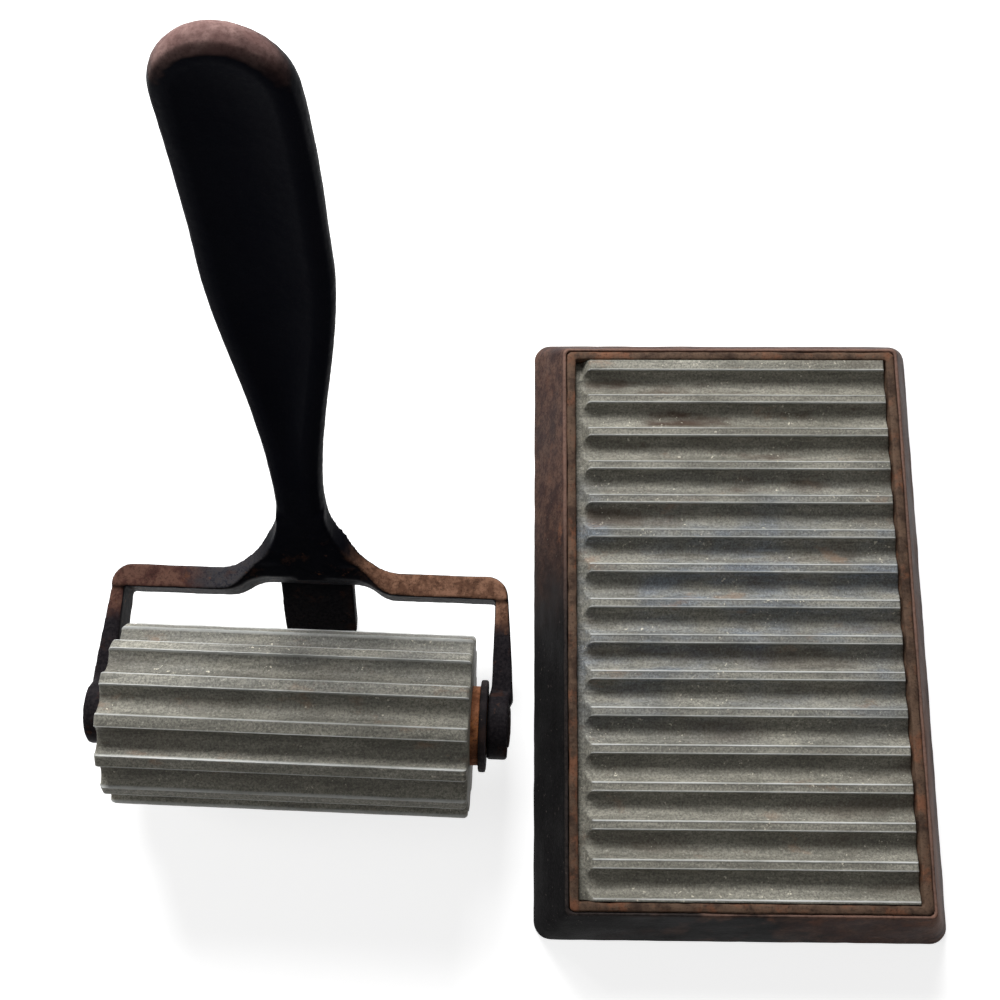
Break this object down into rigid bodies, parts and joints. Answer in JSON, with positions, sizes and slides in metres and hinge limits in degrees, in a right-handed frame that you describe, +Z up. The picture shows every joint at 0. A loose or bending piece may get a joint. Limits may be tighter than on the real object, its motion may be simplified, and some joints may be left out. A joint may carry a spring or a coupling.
{
  "type": "roller fluting iron",
  "caption": "Cast-iron hand fluter: a fluted roller in a forked handle, with the flat fluted bed that it rolls on.",
  "frame": {"origin": "on the table, at the middle of the footprint of bed and hand tool together", "axes": "+X from the hand tool across to the bed, +Y away along the bed towards the handle's side, +Z up"},
  "size_m": [0.1958, 0.1463, 0.1396],
  "materials": {
    "base_paint": "worn black paint over cast iron, brown with rust at the edges",
    "tray_iron": "rusty bare iron",
    "plate_metal": "grey, worn smooth",
    "screw_steel": "dull",
    "handle_paint": "worn glossy black paint over cast iron",
    "axle_steel": "dark, rusty",
    "core_iron": "rusty",
    "collar_iron": "dark",
    "sleeve_metal": "grey, worn smooth"
  },
  "bodies": {
    "bed": {"base_casting": "base_paint", "bed_tray": "tray_iron", "bed_plate": "plate_metal", "bed_screws": "screw_steel"},
    "hand_frame": {"handle_fork": "handle_paint", "axle_rod": "axle_steel"},
    "roller": {"roller_core": "core_iron", "core_collar": "collar_iron", "roller_sleeve": "sleeve_metal"}
  },
  "joints": [
    {"name": "tool_lift", "type": "slide", "parent": "bed", "child": "hand_frame", "axis": [0, 0, 1], "range_m": [0, 0.12]},
    {"name": "roller_spin", "type": "hinge", "parent": "hand_frame", "child": "roller", "pos_m": [-0.0502, -0.02425, 0.02007], "axis": [0.9995, -0.0319, 0], "continuous": true}
  ]
}
